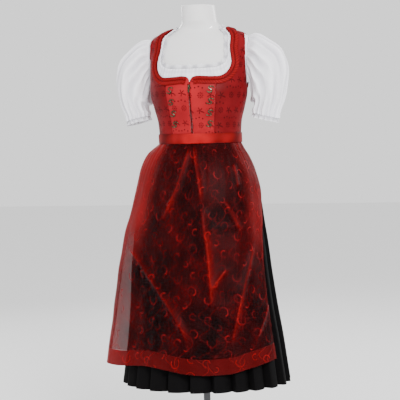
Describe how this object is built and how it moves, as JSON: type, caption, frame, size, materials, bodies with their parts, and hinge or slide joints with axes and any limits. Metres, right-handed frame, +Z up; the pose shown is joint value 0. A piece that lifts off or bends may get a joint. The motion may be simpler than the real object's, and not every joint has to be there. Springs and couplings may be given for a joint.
{
  "type": "dirndl on dress form",
  "caption": "Traditional dress with laced-look jacquard bodice, pleated skirt, sheer apron and puff-sleeve blouse on a limbless dress form with a round base.",
  "frame": {"origin": "centre of the stand's underside, on the floor", "axes": "+Z up the pole to the neck; -Y is the dress's front; +X is the viewer's right from the front"},
  "size_m": [0.6108, 0.4751, 1.442],
  "materials": {
    "form": "glossy off-white shell of the dress form",
    "steel": "dark grey painted steel pole and base",
    "cotton": "matt white cotton batiste",
    "lace": "white cotton lace edging",
    "jacquard": "red satin jacquard with tone-on-tone sprigs",
    "braid": "red gathered satin trim",
    "zip": "red zip tape with a closed chain",
    "antique": "antique greenish-brown cast metal",
    "satin": "shiny red satin ribbon",
    "skirt": "matt black pleated cotton",
    "organza": "sheer dark red organza with a tone-on-tone vine"
  },
  "bodies": {
    "root": {"form_torso": "form", "form_pole": "steel", "form_base": "steel", "blouse_front": "cotton", "blouse_back": "cotton", "sleeve_right": "cotton", "sleeve_left": "cotton", "cuff_lace_right": "lace", "cuff_lace_left": "lace", "neck_frill": "lace", "bodice_front_centre_right": "jacquard", "bodice_front_centre_left": "jacquard", "bodice_front_side_right": "jacquard", "bodice_front_side_left": "jacquard", "bodice_back_side_right": "jacquard", "bodice_back_side_left": "jacquard", "bodice_back_centre": "jacquard", "trim_inner_right": "braid", "trim_inner_left": "braid", "trim_outer_right": "braid", "trim_outer_left": "braid", "zip_chain": "zip", "zip_slider": "antique", "zip_bail": "antique", "hook_left_1": "antique", "hook_left_2": "antique", "hook_left_3": "antique", "hook_left_4": "antique", "hook_right_1": "antique", "hook_right_2": "antique", "hook_right_3": "antique", "hook_right_4": "antique", "waistband": "satin", "skirt": "skirt", "apron": "organza", "apron_hem": "organza", "bow_knot": "satin", "bow_loop_right": "satin", "bow_loop_left": "satin", "bow_tail_right": "satin", "bow_tail_left": "satin"},
    "zip_pull": {"zip_pull_tab": "antique"}
  },
  "joints": [
    {"name": "pull_tab_hinge", "type": "hinge", "parent": "root", "child": "zip_pull", "pos_m": [0, -0.12444, 1.17989], "axis": [-1, 0, 0], "range_deg": [0, 140]}
  ]
}
